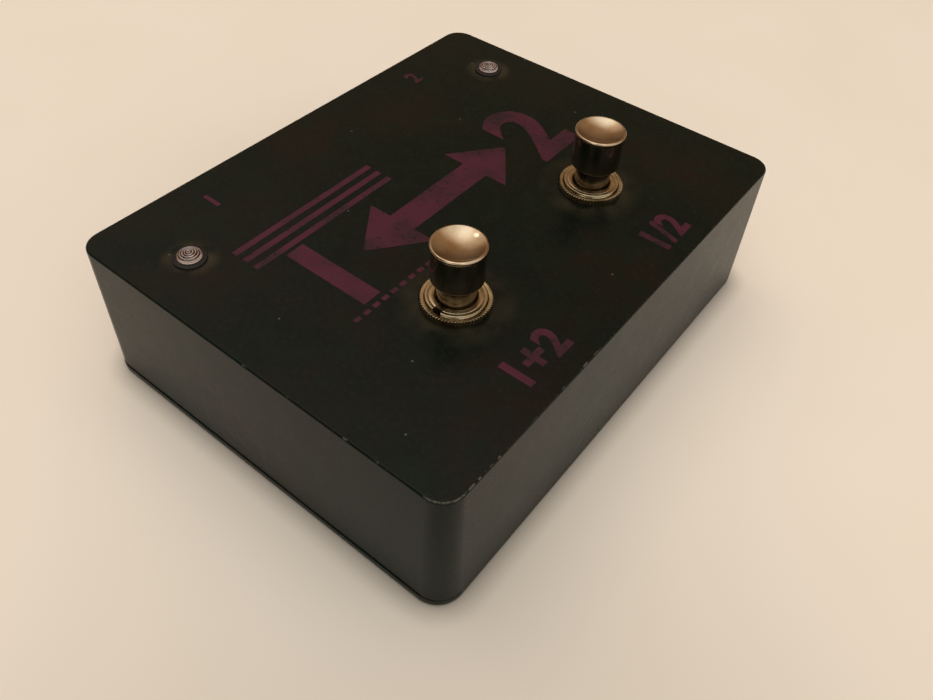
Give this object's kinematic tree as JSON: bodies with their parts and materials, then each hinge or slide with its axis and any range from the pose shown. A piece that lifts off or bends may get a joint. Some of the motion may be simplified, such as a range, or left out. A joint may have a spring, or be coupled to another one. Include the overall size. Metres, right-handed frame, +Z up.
{
  "type": "amp selector pedal",
  "caption": "Foot-operated amp selector pedal: black die-cast box with round footswitches, lens lamps, rear quarter-inch sockets, a power inlet and a screwed lid.",
  "frame": {"origin": "middle of the lid's underside, on the surface that the pedal stands on", "axes": "+X to the player's right, +Y to the rear where the sockets are, +Z up"},
  "size_m": [0.1213, 0.0989, 0.0484],
  "materials": {
    "box_paint": "worn black paint on die-cast alloy",
    "lid_paint": "worn black paint on die-cast alloy",
    "screw_steel": "zinc-plated steel",
    "tinned_metal": "tinned brass",
    "washer_steel": "nickel-plated steel",
    "lock_washer_steel": "zinc-plated steel",
    "phenolic": "laminated phenolic",
    "inlet_plastic": "moulded black nylon",
    "battery_jacket": "plain lacquered steel jacket",
    "snap_vinyl": "moulded vinyl",
    "spring_steel": "bright spring steel",
    "board_laminate": "solder-masked glass laminate",
    "resistor_coat": "dipped coating",
    "capacitor_sleeve": "shrunk sleeve",
    "wire_red": "extruded insulation",
    "wire_yellow": "extruded insulation",
    "wire_white": "extruded insulation",
    "wire_black": "extruded insulation",
    "cap_chrome": "polished chrome, lightly tarnished",
    "plunger_metal": "turned and plated",
    "nut_nickel": "knurled or milled nickel plate",
    "bushing_nickel": "threaded nickel plate",
    "frame_steel": "stamped and plated steel",
    "switch_plastic": "moulded thermoset",
    "lens_clear": "clear moulded polycarbonate",
    "clip_plastic": "moulded nylon",
    "lamp_epoxy": "cast epoxy",
    "socket_nickel": "nickel-plated brass",
    "spring_bronze": "plated phosphor bronze"
  },
  "bodies": {
    "pedal": {"enclosure_body": "box_paint", "bottom_lid": "lid_paint", "lid_screws": "screw_steel", "lamp_leads": "tinned_metal", "socket_washers": "washer_steel", "socket_lock_washers": "lock_washer_steel", "socket_wafers": "phenolic", "power_inlet_housing": "inlet_plastic", "power_inlet_nut": "inlet_plastic", "power_inlet_pin": "tinned_metal", "power_inlet_lugs": "tinned_metal", "battery": "battery_jacket", "battery_snap": "snap_vinyl", "battery_clip": "spring_steel", "circuit_board": "board_laminate", "board_resistors": "resistor_coat", "board_capacitors": "capacitor_sleeve", "battery_wires": "wire_red", "lamp_wires": "wire_yellow", "socket_wires": "wire_white", "inlet_wires": "wire_black", "left_switch_spring": "spring_steel", "left_switch_knurled_nut": "nut_nickel", "left_switch_bushing": "bushing_nickel", "left_switch_lock_washer": "lock_washer_steel", "left_switch_hex_nut": "nut_nickel", "left_switch_frame": "frame_steel", "left_switch_base": "switch_plastic", "left_switch_lugs": "tinned_metal", "left_lamp_lens": "lens_clear", "left_lamp_clip_ring": "clip_plastic", "left_lamp": "lamp_epoxy", "right_switch_spring": "spring_steel", "right_switch_knurled_nut": "nut_nickel", "right_switch_bushing": "bushing_nickel", "right_switch_lock_washer": "lock_washer_steel", "right_switch_hex_nut": "nut_nickel", "right_switch_frame": "frame_steel", "right_switch_base": "switch_plastic", "right_switch_lugs": "tinned_metal", "right_lamp_lens": "lens_clear", "right_lamp_clip_ring": "clip_plastic", "right_lamp": "lamp_epoxy", "left_socket_sleeve": "socket_nickel", "left_socket_nut": "nut_nickel", "left_socket_tip_spring": "spring_bronze", "centre_socket_sleeve": "socket_nickel", "centre_socket_nut": "nut_nickel", "centre_socket_tip_spring": "spring_bronze", "right_socket_sleeve": "socket_nickel", "right_socket_nut": "nut_nickel", "right_socket_tip_spring": "spring_bronze"},
    "left_button": {"left_switch_cap": "cap_chrome", "left_switch_plunger": "plunger_metal"},
    "right_button": {"right_switch_cap": "cap_chrome", "right_switch_plunger": "plunger_metal"}
  },
  "joints": [
    {"name": "left_press", "type": "slide", "parent": "pedal", "child": "left_button", "axis": [0, 0, -1], "range_m": [0, 0.0032], "stiffness_N_per_m": 2000, "springref_m": -0.004, "deforming": ["left_switch_spring"]},
    {"name": "right_press", "type": "slide", "parent": "pedal", "child": "right_button", "axis": [0, 0, -1], "range_m": [0, 0.0032], "stiffness_N_per_m": 2000, "springref_m": -0.004, "deforming": ["right_switch_spring"]}
  ]
}
